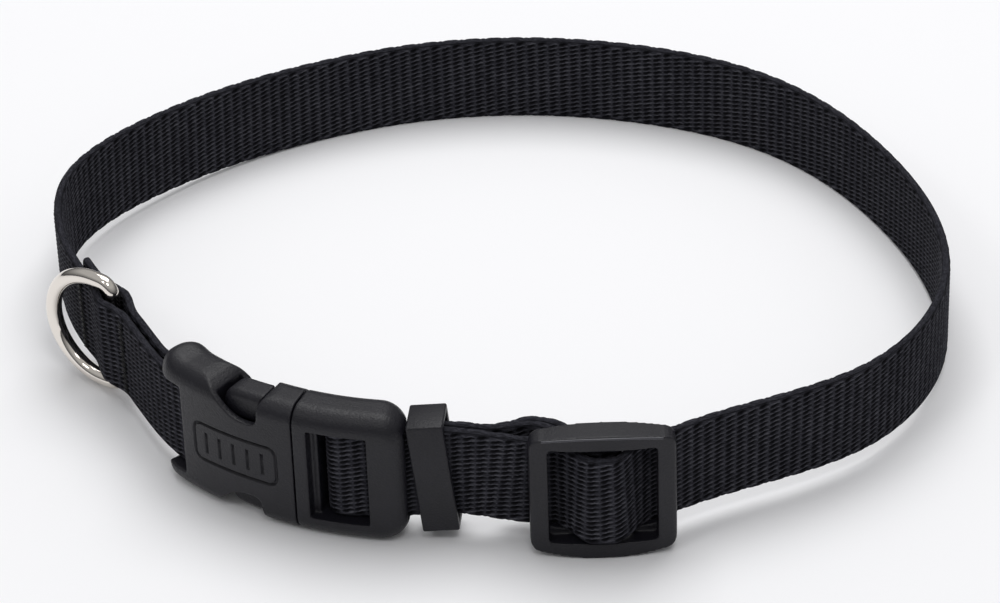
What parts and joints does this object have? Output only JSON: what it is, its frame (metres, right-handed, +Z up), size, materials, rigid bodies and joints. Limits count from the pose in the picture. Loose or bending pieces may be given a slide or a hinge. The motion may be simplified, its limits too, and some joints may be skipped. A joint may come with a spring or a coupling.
{
  "type": "dog collar",
  "caption": "Adjustable webbing dog collar as a closed loop standing on its edge, with a curved side-release buckle, belt keeper, three-bar slide and a swinging D-ring.",
  "frame": {"origin": "on the ground under the middle of the bounding box, the collar standing on its lower edge", "axes": "+Z up across the webbing, +X along the loop's long side, -Y towards the side with the buckle and the slide"},
  "size_m": [0.1778, 0.16, 0.028],
  "materials": {
    "webbing": "woven black nylon",
    "moulded_plastic": "fine matte moulded acetal",
    "nickel_wire": "bright nickel plate"
  },
  "bodies": {
    "collar": {"webbing_strap": "webbing", "buckle_socket": "moulded_plastic", "buckle_plug": "moulded_plastic", "slide_adjuster": "moulded_plastic"},
    "ring": {"d_ring": "nickel_wire"},
    "loop": {"keeper": "moulded_plastic"}
  },
  "joints": [
    {"name": "ring_swing", "type": "hinge", "parent": "collar", "child": "ring", "pos_m": [-0.07467, -0.02121, 0.014], "axis": [0, 0, 1], "range_deg": [-4, 134]},
    {"name": "keeper_slide", "type": "slide", "parent": "collar", "child": "loop", "axis": [0.9888, -0.1495, 0], "range_m": [0, 0.007]}
  ]
}
